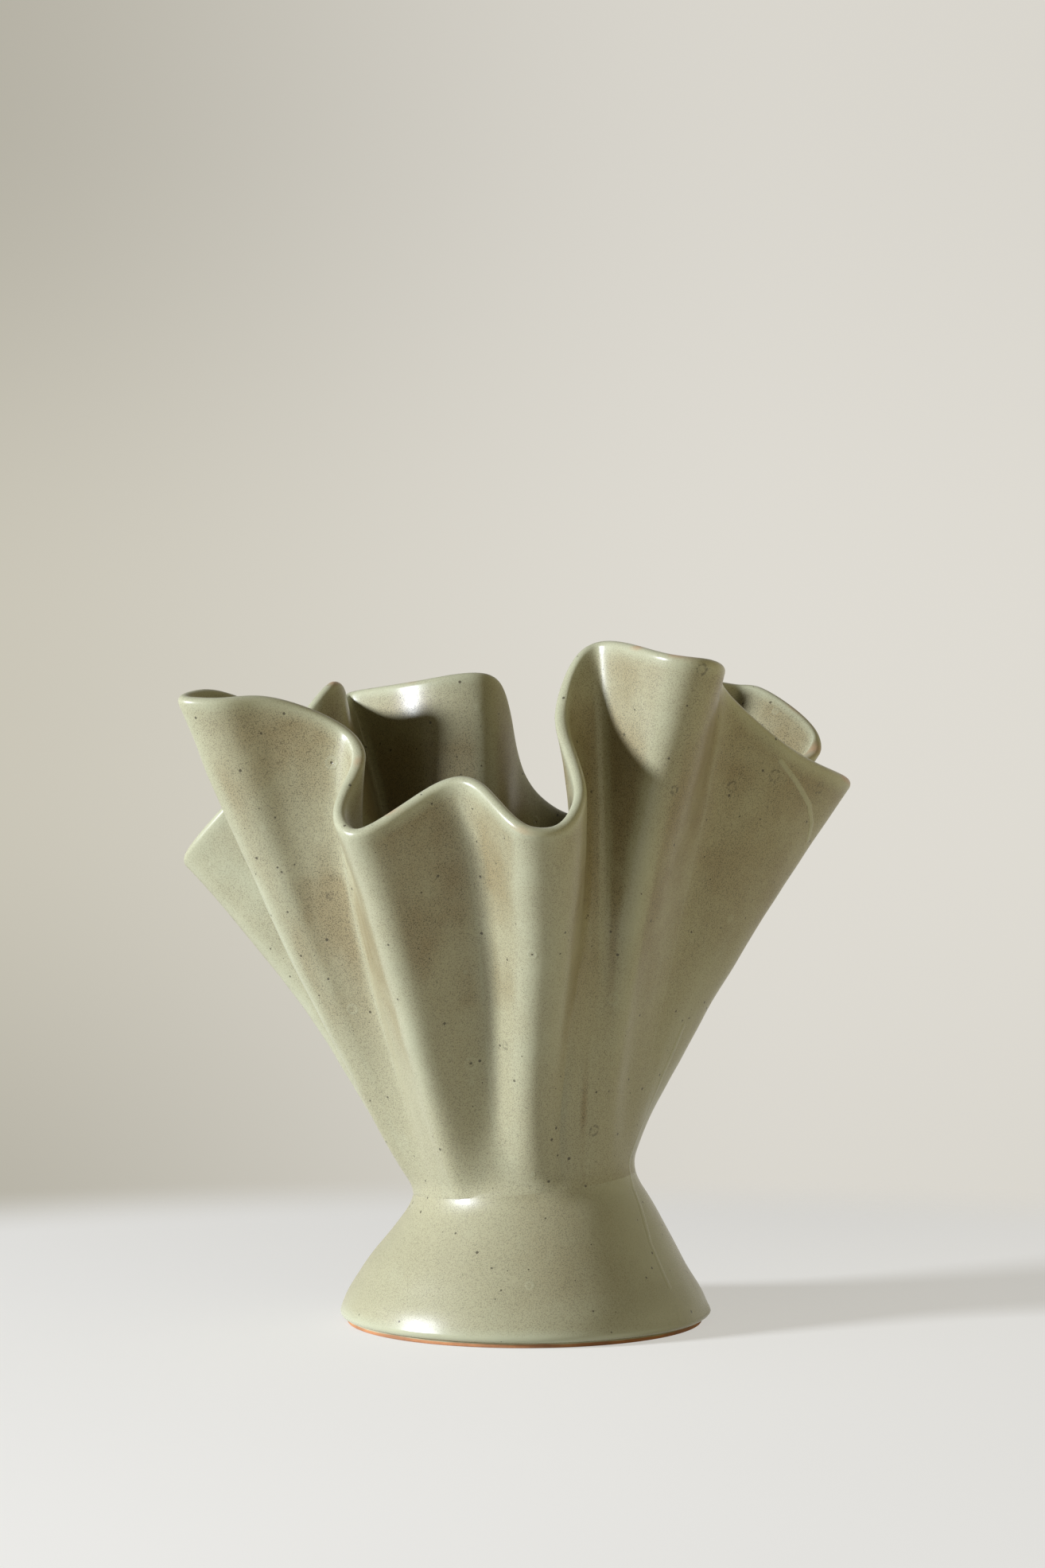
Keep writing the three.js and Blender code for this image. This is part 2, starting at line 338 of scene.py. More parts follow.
def smooth_step(low, high, values):
    """Rises smoothly from 0 to 1 between low and high."""
    t = np.clip((values - low) / (high - low), 0, 1)
    return t * t * (3 - 2 * t)


def hump(values, middle, width):
    """A soft hump of this width around the middle."""
    return np.exp(-(((values - middle) / width) ** 2))


def bulge(height, middle, width, depth):
    """How far a soft bulge stands out at each height, from its measures in millimetres."""
    return hump(height, middle * MM, width * MM) * depth * MM


def beside(points, bearing, width, strength=1.0):
    """This strength at a bearing, fading to both sides over a width, both in degrees."""
    turn = np.degrees(np.arctan2(points[..., 1], points[..., 0])) - bearing
    return strength * hump(np.abs((turn + 180) % 360 - 180), 0, width)


def joint_push(points, sizes):
    """How far clay that is smoothed over the waist joint stands out at each point."""
    away = np.clip(1 - np.abs(points[..., 2] - FOOT_HIGH.z) / sizes.waist_reach, 0, 1)
    return sizes.waist_fillet * away**2


# Heights between which the tilt of the waist comes in below it, and goes out above it.
TILT_START, TILT_END = (20 * MM, 50 * MM), (60 * MM, 110 * MM)


def tilt_waist(points, sizes):
    """Points after the waist is pressed down on the left and up on the right."""
    height = points[..., 2]
    share = smooth_step(*TILT_START, height) * (1 - smooth_step(*TILT_END, height))
    points = points.copy()
    points[..., 2] += sizes.waist_tilt * points[..., 0] * share
    return points


def add_object(name, data):
    """A new object in the scene."""
    made = bpy.data.objects.new(name, data)
    bpy.context.scene.collection.objects.link(made)
    return made


def close_loft(name, sections, masks):
    """A closed mesh through closed sections around the vase, with masks kept on its points."""
    columns, points = sections.shape[:2]
    column, point = np.meshgrid(np.arange(columns), np.arange(points), indexing="ij")
    ahead, above = (column + 1) % columns, (point + 1) % points
    corners = ((column, point), (ahead, point), (ahead, above), (column, above))
    faces = np.stack([a * points + b for a, b in corners], -1).reshape(-1, 4)
    mesh = bpy.data.meshes.new(name)
    mesh.from_pydata(sections.reshape(-1, 3).tolist(), [], faces.tolist())
    for mask, values in masks.items():
        kind, field = ("FLOAT_VECTOR", "vector") if values.ndim == 3 else ("FLOAT", "value")
        layer = mesh.attributes.new(mask, kind, "POINT")
        layer.data.foreach_set(field, values.astype(np.float32).ravel())
    mesh.shade_smooth()
    mesh.set_sharp_from_angle(angle=math.radians(50))
    return add_object(name, mesh)


def place(piece, node, material):
    """Gives a piece its glaze, and sets it on the vase in place of a plain solid."""
    piece.data.materials.append(material)
    if piece.data.validate():
        raise RuntimeError(f"{piece.name} has faces that don't close")
    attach(piece, "root")
    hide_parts(node)


def turned(outline, columns):
    """Closed sections around the axis from a closed outline of radius and height."""
    radius, height = np.array(outline).T
    return polar(np.linspace(0, 360, columns, endpoint=False)[:, None], radius, height)


def bend(start, control, end, steps):
    """Points of a bend pulled towards control. The end itself is left to the next line."""
    t = (np.arange(steps) / steps)[:, None]
    start, control, end = (np.array(p, float) for p in (start, control, end))
    return (start * (1 - t) ** 2 + 2 * control * t * (1 - t) + end * t**2).tolist()


def line(start, end, steps=4):
    """Points from start towards end. The end itself is left to the next line."""
    middle = ((start[0] + end[0]) / 2, (start[1] + end[1]) / 2)
    return bend(start, middle, end, steps)


def pushed(sections, push):
    """Sections with each point moved straight away from the axis."""
    return sections + unit(sections * (1, 1, 0)) * push[..., None]


def line_mask(names, columns, width):
    """Around the wall, 1 on the named folds, falling to 0 over this many columns."""
    count = len(FOLDS) * columns
    mask = np.zeros(count)
    for name in names:
        turn = np.arange(count) - NAMES.index(name) * columns
        away = np.abs((turn + count / 2) % count - count / 2)
        mask = np.maximum(mask, np.clip(1 - away / width, 0, 1))
    return mask


def fold_shares(shares, columns):
    """Around the wall, the share of each named fold, with even slopes to the folds beside it."""
    values = [shares.get(name, 0.0) for name in NAMES]
    at = np.arange(len(FOLDS) * columns) / columns
    return np.interp(at, np.arange(len(FOLDS) + 1), values + values[:1])


# Rows of the wall's mesh, closer together in the first share of its height, and steps over the lip.
WAIST_SHARE, WAIST_ROWS, UPPER_ROWS = 0.1, 12, 62
INSIDE_ROWS = 56
LIP_STEPS = 10
# The shares of the height over which dents come in, and how much the lip's thickness varies.
DENTS_START = (0.0, 0.35)
LIP_VARIES = 0.07


def wall_rows(sizes, shares):
    """The middle of the wall, row by row, round at the waist and dented by hand above it."""
    rows = eased(round_curve(fold_lines(sizes, shares), sizes.columns), passes=30)
    around = np.degrees(np.arctan2(rows[0, :, 1], rows[0, :, 0]))
    rows[0] = polar(around, sizes.waist_radius - sizes.wall / 2, FOOT_HIGH.z)
    sway = dents(rows, broad=0.034, fine=0.013, share=0.45, seed=1)
    sway = sway * smooth_step(*DENTS_START, shares)[:, None] * sizes.unevenness
    return rows + outward(rows) * sway[..., None]


def wall_sections(outside, lip, inside):
    """Closed sections of the wall: up its outside, over the lip and down its inside."""
    pick = np.round(np.linspace(len(inside) - 1, 0, INSIDE_ROWS)).astype(int)
    return np.concatenate([outside, lip, inside[pick]]).swapaxes(0, 1)


def wall_masks(rows, shares, bends, lip_turns, columns):
    """Where the wall's glaze is pale, brown, painted shade or rubbed off, and how it runs."""
    from_rim = np.linalg.norm(rows[-1] - rows, axis=2)
    near_lip = 1 - smooth_step(0.0, LIP_BAND, from_rim)
    on_lip = np.ones((LIP_STEPS - 1, rows.shape[1]))
    up = shares[:, None]
    lines = line_mask(PALE_LINES, columns, width=1.2) * smooth_step(*LINE_START, up)
    lines = lines * (1 - LINE_LOSS * smooth_step(*LINE_FADE, up))
    run = line_mask((DARK_LINE,), columns, width=5.0) * hump(up, middle=0.15, width=0.10)
    ridges = BEND_PALE * bends * smooth_step(*RIDGE_START, up)
    level = 1 - smooth_step(*LEVEL_BENDS, np.abs(bends))
    broad = level * smooth_step(*BROAD_START, up) * (1 - near_lip)
    pool = fold_shares(WAIST_POOL, columns) * (1 - smooth_step(*POOL_FADE, up))
    thick = np.maximum(fold_shares(THICK_GLAZE, columns), pool)
    # Browner halfway up and near the rim: partly thin glaze, partly painted shade.
    thin_and_shade = fold_shares(THIN_GLAZE_AND_SHADE, columns) * hump(up, middle=0.68, width=0.28)
    thin_and_shade = thin_and_shade + fold_shares(RIM_SHADE, columns) * smooth_step(*RIM_START, up) * (1 - near_lip)
    pale = np.maximum(np.maximum(LIP_PALE * near_lip, ridges), np.maximum(BEND_PALE * lines, thick))
    pale_inside = np.maximum(LIP_PALE * near_lip, BEND_PALE * np.clip(-bends, 0, 1))
    brown = np.maximum(broad + thin_and_shade, DARK_BROWN * run)
    middle = rows[len(rows) // 2]
    step = np.linalg.norm(np.roll(middle, -1, axis=0) - middle, axis=1)
    turn = 360 * np.cumsum(step) / np.sum(step)
    flow = polar(turn, FLOW_RADIUS, 0) + from_rim[..., None] * (0, 0, FLOW_STRETCH)
    return {
        "pale": wall_sections(pale, LIP_PALE * on_lip, pale_inside),
        # Inside, the broad brown is deepened as painted shade.
        "brown": wall_sections(brown, 0 * on_lip, INSIDE_BROWN_AND_SHADE * broad),
        "bare": wall_sections(0 * near_lip, on_lip * np.sin(lip_turns)[:, None], 0 * near_lip),
        "flow": wall_sections(flow, np.repeat(flow[-1:], LIP_STEPS - 1, 0), flow),
    }


def make_wall(settings):
    """The ruffled wall of the bowl, with round lips."""
    sizes = settings.sizes
    near_waist = np.linspace(0, WAIST_SHARE, WAIST_ROWS, endpoint=False)
    shares = np.concatenate([near_waist, np.linspace(WAIST_SHARE, 1, UPPER_ROWS)])
    rows = wall_rows(sizes, shares)
    normal = outward(rows)
    rise = unit(rows[-1] - rows[-2])
    bends = eased(bend_of(rows, normal)[..., None], passes=6)[..., 0]
    varies = LIP_VARIES * soft_noise(rows[-1], size=0.03, seed=3)
    depth = sizes.wall / 2 * (1 + varies * shares[:, None])
    outer, inner = rows + normal * depth[..., None], rows - normal * depth[..., None]
    outer = pushed(outer, joint_push(outer, sizes))
    turns = np.pi * np.arange(1, LIP_STEPS) / LIP_STEPS
    arc = np.cos(turns)[:, None, None] * normal[-1] + np.sin(turns)[:, None, None] * rise
    lip = rows[-1] + arc * depth[-1][:, None]
    sections = tilt_waist(wall_sections(outer, lip, inner), sizes)
    masks = wall_masks(rows, shares, bends, turns, sizes.columns)
    wall = close_loft("folded_wall", sections, masks)
    place(wall, "ruffled_wall", glaze_material("wall_glaze", settings))


# The foot's hollow follows the pull of its flank by this share. Its dents are this strong beside
# the wall's, and fade over these heights above the ring and below the waist.
INNER_BELLY, FOOT_DENTED = 0.9, 0.6
FIRM_HEM, FIRM_TOP = 3 * MM, 4 * MM
# The chip's height and its soft edge, and how fast it turns bare towards its middle.
CHIP_HEIGHT, CHIP_EDGE, CHIP_SLOPE = 2.5 * MM, (0.1 * MM, 0.9 * MM), 4
# How pale the hem is and where that ends, how brown the foot is all round and where that starts.
HEM_PALE, HEM_FADE = 0.9, (1 * MM, 7 * MM)
FOOT_BROWN, FOOT_BROWN_START = 0.08, (8 * MM, 20 * MM)


def make_foot(settings):
    """The hollow pedestal foot, with a thick roll of glaze along its lower edge."""
    sizes = settings.sizes
    ring_top, top, waist = RING_HIGH.z, FOOT_HIGH.z, sizes.waist_radius
    hem, socket = (FOOT_HIGH.x, ring_top + sizes.roll_height), waist - sizes.wall
    ledge, ledge_top = socket - sizes.ledge_width, FLOOR_LOW.z
    under = (ledge, ledge_top - sizes.ledge_thickness)
    ring_in = RING_HIGH.x - sizes.ring_width
    inner_belly = (INNER_BELLY * sizes.belly_radius, sizes.belly_height)
    outside = bend((RING_HIGH.x, ring_top), (FOOT_HIGH.x, ring_top), hem, steps=8)
    outside += bend(hem, (sizes.belly_radius, sizes.belly_height), (waist, top), steps=64)
    inside = line((waist, top), (socket, top))
    inside += line((socket, top), (socket, ledge_top))
    inside += line((socket, ledge_top), (ledge, ledge_top))
    inside += line((ledge, ledge_top), under, steps=3)
    inside += bend(under, inner_belly, (ring_in, ring_top), steps=24)
    inside += line((ring_in, ring_top), (RING_HIGH.x, ring_top))
    sections = turned(outside + inside, columns=224)
    skin = np.arange(sections.shape[1]) <= len(outside)
    height = sections[..., 2] - ring_top
    free = smooth_step(0, FIRM_HEM, height) * smooth_step(top, top - FIRM_TOP, sections[..., 2])
    push = dents(sections, broad=0.030, fine=0.012, share=0.4, seed=5)
    push = push * FOOT_DENTED * sizes.unevenness * free
    roll = bulge(height, middle=2.0, width=2.2, depth=0.12)
    push += roll * (1 + soft_noise(sections, size=0.02, seed=7))
    push += bulge(height, middle=9, width=6, depth=0.6)
    drip = bulge(height, middle=3.2, width=2.6, depth=0.9)
    push += drip * beside(sections, bearing=354, width=5.5)
    push += joint_push(sections, sizes)
    sections = pushed(sections, push * skin)
    chip = beside(sections, bearing=356, width=2.2, strength=0.6)
    bare = 1 - smooth_step(*CHIP_EDGE, height - chip * CHIP_HEIGHT)
    hem_pale = HEM_PALE * (1 - smooth_step(*HEM_FADE, height))
    side_pale = beside(sections, bearing=338, width=36, strength=0.85)
    brown = FOOT_BROWN + beside(sections, bearing=281, width=24, strength=0.28)
    masks = {
        "pale": np.maximum(hem_pale, side_pale) * skin,
        "brown": brown * smooth_step(*FOOT_BROWN_START, height) * skin,
        "bare": bare * np.minimum(chip * CHIP_SLOPE, 1) * skin,
        "flow": sections * (1, 1, FOOT_FLOW_STRETCH),
    }
    foot = close_loft("pedestal", tilt_waist(sections, sizes), masks)
    place(foot, "pedestal_foot", glaze_material("foot_glaze", settings))


# Depth of the floor's dish and how far its flat part reaches. Depth of its dents, and the shares of
# its radius between which they fade.
DISH_DEPTH, DISH_REACH = 0.5 * MM, 0.6
DISH_DENTED, DISH_FADE = 0.15 * MM, (0.75, 0.95)
# How far the coil's hollow face is pulled into its corner, as shares of its width and height.
COIL_HOLLOW = (0.45, 0.25)


def plain_masks(sections, pale, brown=0.3):
    """Masks of a piece whose glaze is even."""
    plain = np.zeros(sections.shape[:2])
    return {"pale": plain + pale, "brown": plain + brown, "bare": plain, "flow": sections}


def make_disc(sizes, material):
    """The floor of the bowl, slightly dished."""
    radius, low, high = FLOOR_HIGH.x, FLOOR_LOW.z, FLOOR_HIGH.z
    dish = high - DISH_DEPTH
    outline = bend((0, dish), (radius * DISH_REACH, dish), (radius, high), steps=24)
    outline += line((radius, high), (radius, low))
    outline += line((radius, low), (0, low), steps=12)
    outline += [(0, low)]
    sections = turned(outline, columns=96)
    first, last = (radius * share for share in DISH_FADE)
    inside = 1 - smooth_step(first, last, np.linalg.norm(sections[..., :2], axis=2))
    on_top = sections[..., 2] > (low + high) / 2
    dented = soft_noise(sections, size=0.02, seed=8) * DISH_DENTED
    sections[..., 2] += dented * inside * on_top
    disc = close_loft("bowl_base", tilt_waist(sections, sizes), plain_masks(sections, pale=0.1))
    shape = bmesh.new()
    shape.from_mesh(disc.data)
    bmesh.ops.remove_doubles(shape, verts=shape.verts, dist=TINY_LENGTH)
    flat = [face for face in shape.faces if face.calc_area() < NOTHING]
    bmesh.ops.delete(shape, geom=flat, context="FACES")
    shape.to_mesh(disc.data)
    shape.free()
    place(disc, "bowl_floor", material)


def make_coil(sizes, material):
    """The coil of clay pressed into the corner between the floor and the wall."""
    outer, inner = COIL_HIGH.x, COIL_HIGH.x - sizes.coil_width
    bottom, peak = COIL_LOW.z, COIL_HIGH.z
    across, upward = COIL_HOLLOW
    corner = (inner + across * (outer - inner), bottom + upward * (peak - bottom))
    outline = line((inner, bottom), (outer, bottom), steps=6)
    outline += line((outer, bottom), (outer, peak), steps=6)
    outline += bend((outer, peak), corner, (inner, bottom), steps=14)
    sections = turned(outline, columns=160)
    coil = close_loft("corner_coil", tilt_waist(sections, sizes), plain_masks(sections, pale=0.5))
    place(coil, "floor_coil", material)


def make_floor(settings):
    """The floor of the bowl and the coil in its corner, in one glaze."""
    material = glaze_material("inside_glaze", settings)
    make_disc(settings.sizes, material)
    make_coil(settings.sizes, material)


# The ring's rounding, the heights over which its roughness comes in, and how deep that is.
RING_ROUND = 0.6 * MM
ROUGH_START = (0.2 * MM, 0.7 * MM)
LUMP_DEPTH, GRAIN_DEPTH = 0.12 * MM, 0.07 * MM


def make_ring(settings):
    """The bare clay ring that the vase stands on, rough and rounded at its edges."""
    outer, inner = RING_HIGH.x, RING_HIGH.x - settings.sizes.ring_width
    low, high, soft = RING_LOW.z, RING_HIGH.z, RING_ROUND
    outline = line((inner + soft, low), (outer - soft, low), steps=10)
    outline += bend((outer - soft, low), (outer, low), (outer, low + soft), steps=5)
    outline += line((outer, low + soft), (outer, high), steps=6)
    outline += line((outer, high), (inner, high), steps=8)
    outline += line((inner, high), (inner, low + soft))
    outline += bend((inner, low + soft), (inner, low), (inner + soft, low), steps=5)
    sections = turned(outline, columns=288)
    above = smooth_step(*ROUGH_START, sections[..., 2] - low)
    rough = soft_noise(sections, size=0.006, seed=9) * LUMP_DEPTH
    rough += soft_noise(sections, size=0.0022, seed=10) * GRAIN_DEPTH
    ring = close_loft("clay_ring", pushed(sections, rough * above), {"flow": sections})
    place(ring, "foot_ring", clay_material(settings))


class Nodes:
    """Short ways to add and join shader nodes."""

    def __init__(self, tree):
        self.tree = tree

    def add(self, kind, values=None, **options):
        """A node with these options, its input sockets set to values or joined to other sockets."""
        node = self.tree.nodes.new(kind)
        for option, value in options.items():
            setattr(node, option, value)
        for socket, value in (values or {}).items():
            self.set(node.inputs[socket], value)
        return node

    def set(self, socket, value):
        """Joins a socket to another socket, or sets it to a plain value."""
        if isinstance(value, bpy.types.NodeSocket):
            self.tree.links.new(value, socket)
        else:
            socket.default_value = value

    def math(self, operation, a, b=0.0, clamp=False):
        """The result of a Math node."""
        values = {0: a, 1: b}
        return self.add("ShaderNodeMath", values, operation=operation, use_clamp=clamp).outputs[0]

    def times(self, a, b, clamp=False):
        """Two values multiplied."""
        return self.math("MULTIPLY", a, b, clamp)

    def plus(self, a, b, clamp=False):
        """Two values added."""
        return self.math("ADD", a, b, clamp)

    def minus(self, a, b):
        """The second value taken from the first."""
        return self.math("SUBTRACT", a, b)

    def larger(self, a, b):
        """The larger of two values."""
        return self.math("MAXIMUM", a, b)

    def vector(self, operation, a, b, output="Value"):
        """The result of a Vector Math node."""
        return self.add("ShaderNodeVectorMath", {0: a, 1: b}, operation=operation).outputs[output]

    def spread(self, value, low, high, first=0.0, last=1.0):
        """A value from low to high spread smoothly over first to last."""
        values = {"Value": value, "From Min": low, "From Max": high}
        values |= {"To Min": first, "To Max": last}
        node = self.add("ShaderNodeMapRange", values, interpolation_type="SMOOTHSTEP")
        return node.outputs["Result"]

    def mix(self, share, a, b):
        """Two colours mixed by a share."""
        return self.add("ShaderNodeMix", {0: share, 6: a, 7: b}, data_type="RGBA").outputs[2]

    def here(self):
        """The place on the piece."""
        return self.add("ShaderNodeTexCoord").outputs["Object"]

    def mask(self, name, output="Fac"):
        """A mask that is kept on the points of the mesh."""
        return self.add("ShaderNodeAttribute", attribute_name=name).outputs[output]

    def distance_to_line(self, place_of, first, last):
        """How far a place is from the straight line between two points."""
        along = last - first
        here = self.vector("SUBTRACT", place_of, first, "Vector")
        share = self.vector("DOT_PRODUCT", here, along)
        share = self.math("DIVIDE", share, along.length_squared, clamp=True)
        values = {0: along, "Scale": share}
        nearest = self.add("ShaderNodeVectorMath", values, operation="SCALE").outputs["Vector"]
        return self.vector("DISTANCE", here, nearest)

    def noise(self, place_of, scale, detail, roughness=0.5):
        """Smooth noise from 0 to 1."""
        values = {"Vector": place_of, "Scale": scale, "Detail": detail, "Roughness": roughness}
        return self.add("ShaderNodeTexNoise", values).outputs["Fac"]

    def cells(self, place_of, scale):
        """How far a place is from the middle of its cell, and two values that each cell draws."""
        node = self.add("ShaderNodeTexVoronoi", {"Vector": place_of, "Scale": scale})
        drawn = self.add("ShaderNodeSeparateColor", {"Color": node.outputs["Color"]}).outputs
        return node.outputs["Distance"], drawn["Red"], drawn["Green"]

    def bump(self, shader, height, strength, distance):
        """Gives a shader small heights."""
        values = {"Strength": strength, "Distance": distance, "Height": height}
        self.set(shader.inputs["Normal"], self.add("ShaderNodeBump", values).outputs["Normal"])


# The share of cells without a speck, the draws that set a speck's size, and its sizes as shares of
# its cell. Then the part of the noise that shows as sand.
SPECK_NONE, SPECK_DRAW, SPECK_SIZES = 0.15, (0.3, 1.0), (0.045, 0.12)
SAND_SHOWN = (0.46, 0.66)


def fill_speckle(n, given):
    """Pepper of iron specks and a fine sandy grain."""
    here = n.here()
    away, first, second = n.cells(here, scale=190.0)
    dot = n.math("LESS_THAN", away, n.spread(second, *SPECK_DRAW, *SPECK_SIZES))
    dot = n.times(dot, n.math("GREATER_THAN", first, SPECK_NONE))
    sand = n.spread(n.noise(here, scale=2250.0, detail=2.0, roughness=0.7), *SAND_SHOWN)
    return {"Mask": n.times(dot, given["Specks"]), "Sand": n.times(sand, given["Grain"])}


# Sizes of pinholes as shares of a cell. As shares of the pinhole: the edge of its pit, and the
# radius and width of the ring around it. Then the height of the ring beside the depth of the pit.
PIT_SIZES, PIT_EDGE = (0.022, 0.05), (0.35, 0.75)
PIT_RING_RADIUS, PIT_RING_BAND, PIT_RING_HEIGHT = 1.9, 0.9, 0.35


def fill_pinholes(n, given):
    """Pinholes in the glaze: a dark pit, a pale raised ring around it, and their height."""
    away, first, second = n.cells(n.here(), given["Spacing"])
    some = n.math("LESS_THAN", first, given["Share"])
    reach = n.math("DIVIDE", away, n.spread(second, 0.0, 1.0, *PIT_SIZES))
    pit = n.times(n.spread(reach, *PIT_EDGE, 1.0, 0.0), some)
    off_ring = n.math("ABSOLUTE", n.minus(reach, PIT_RING_RADIUS))
    ring = n.times(n.spread(off_ring, 0.0, PIT_RING_BAND, 1.0, 0.0), some)
    return {"Pit": pit, "Ring": ring, "Height": n.minus(n.times(ring, PIT_RING_HEIGHT), pit)}


# Soft edges of a bubble's ring and of a run of glaze, and the part of the noise that rings show in.
BUBBLE_EDGE, RUN_EDGE = (0.2 * MM, 0.8 * MM), (0.5 * MM, 1.7 * MM)
RINGS_SHOWN = (0.42, 0.58)


def fill_marks(n, given):
    """Large burst bubbles, as broken dark rings, and thin runs of glaze."""
    here = n.here()
    ring, run = 0.0, 0.0
    for x, y, z, radius in BUBBLES:
        away = n.vector("DISTANCE", here, Vector((x, y, z)) * MM)
        edge = n.math("ABSOLUTE", n.minus(away, radius * MM))
        ring = n.larger(ring, n.spread(edge, *BUBBLE_EDGE, 1.0, 0.0))
    for points in RUNS:
        for first, last in zip(points, points[1:]):
            away = n.distance_to_line(here, Vector(first) * MM, Vector(last) * MM)
            run = n.larger(run, n.spread(away, *RUN_EDGE, 1.0, 0.0))
    broken = n.spread(n.noise(here, scale=900.0, detail=2.0), *RINGS_SHOWN)
    ring = n.times(n.times(ring, broken), given["Marks"])
    return {"Ring": ring, "Run": n.times(run, given["Marks"])}


# How clouds thin the brown glaze, from a share of it to all of it, and where they let clay show.
BROWN_CLOUDS, BARE_CLOUDS = (0.34, 0.62, 0.15, 1.0), (0.56, 0.66)


def fill_pooling_and_shade(n, given):
    """Where the glaze lies pale and thick, where brown from thin glaze and painted shade, and its
    runs.
    """
    here, flow = n.here(), n.mask("flow", "Vector")
    clouds = n.noise(here, scale=24.0, detail=3.0)
    patches = n.minus(n.noise(here, scale=60.0, detail=3.0), 0.5)
    runs = n.noise(flow, scale=190.0, detail=2.0)
    pale = n.plus(n.mask("pale"), n.times(patches, given["Clouds"]))
    pale = n.plus(pale, n.times(n.minus(runs, 0.5), given["Streaks"]), clamp=True)
    patch = n.plus(n.spread(clouds, *BROWN_CLOUDS), patches)
    return {
        "Pale": pale,
        # Brown from the masks: partly thin glaze, partly painted shade.
        "Brown": n.times(n.mask("brown"), patch, clamp=True),
        "Bare": n.times(n.mask("bare"), n.spread(clouds, *BARE_CLOUDS)),
        "Runs": runs,
    }


# Groups of nodes that materials share: what fills them, their inputs and their outputs.
GROUPS = {
    "Iron speckle": (fill_speckle, dict(Specks=0.5, Grain=0.5), ("Mask", "Sand")),
    "Pinholes": (fill_pinholes, dict(Spacing=40.0, Share=0.5), ("Pit", "Ring", "Height")),
    "Glaze marks": (fill_marks, dict(Marks=1.0), ("Ring", "Run")),
    "Glaze pooling and shade": (
        fill_pooling_and_shade, dict(Clouds=0.5, Streaks=0.3), ("Pale", "Brown", "Bare", "Runs")
    ),
}
# What each glaze sets on the inputs of these groups.
GLAZE_LOOKS = {
    "wall_glaze": dict(Clouds=0.9, Streaks=0.5, Specks=0.8, Grain=0.8, Share=0.45, Marks=1.0),
    "foot_glaze": dict(Clouds=0.7, Streaks=0.3, Specks=0.8, Grain=0.7, Share=0.6, Marks=1.0),
    "inside_glaze": dict(Clouds=0.8, Streaks=0.0, Specks=0.6, Grain=0.6, Share=0.3, Marks=0.0),
}


def make_group(name):
    """The shader node group of this name, filled by its own function."""
    fill, inputs, outputs = GROUPS[name]
    tree = bpy.data.node_groups.new(name, "ShaderNodeTree")
    for kind, sockets in (("INPUT", inputs), ("OUTPUT", dict.fromkeys(outputs, 0.0))):
        for socket, value in sockets.items():
            made = tree.interface.new_socket(socket, in_out=kind, socket_type="NodeSocketFloat")
            made.default_value = value
    n = Nodes(tree)
    start, end = n.add("NodeGroupInput"), n.add("NodeGroupOutput")
    for socket, value in fill(n, start.outputs).items():
        n.set(end.inputs[socket], value)


def group_outputs(n, name, values):
    """The outputs of a group that is built on first use, with the values that it has inputs for."""
    if name not in bpy.data.node_groups:
        make_group(name)
    node = n.add("ShaderNodeGroup", node_tree=bpy.data.node_groups[name])
    for socket, value in values.items():
        if socket in node.inputs:
            n.set(node.inputs[socket], value)
    return node.outputs


def plain_material(name):
    """A new material with a shader on its output, as the material, its nodes and the shader."""
    material = bpy.data.materials.new(name)
    material.use_nodes = True
    material.node_tree.nodes.clear()
    n = Nodes(material.node_tree)
    shader = n.add("ShaderNodeBsdfPrincipled")
    n.add("ShaderNodeOutputMaterial", {"Surface": shader.outputs["BSDF"]})
    return material, n, shader


def colour(value, share=1.0):
    """A colour with full cover, darkened to a share."""
    return (*(share * part for part in value), 1.0)


# How pale runs are, how sandy sage and pale glaze are and how much more so brown glaze is, and how
# much clay, pale rings, dark pits and dark bubbles show.
RUN_PALE = 0.8
SANDY, SANDY_BROWN = (0.60, 0.16), 0.30
CLAY_SHOWN, PALE_RING_SHOWN, PIT_SHOWN, BUBBLE_SHOWN = 0.7, 0.25, 0.9, 0.5
# The glaze's roughness where sage and where pale, and what sand adds to it.
GLAZE_ROUGH, SAND_ROUGH = (0.34, 0.26), 0.08
# Heights of the finish, beside a pinhole's depth of 1.
PEEL_HEIGHT, SPECK_DEPTH, STREAK_HEIGHT, RUN_HEIGHT = 0.10, 0.25, 0.12, 0.9


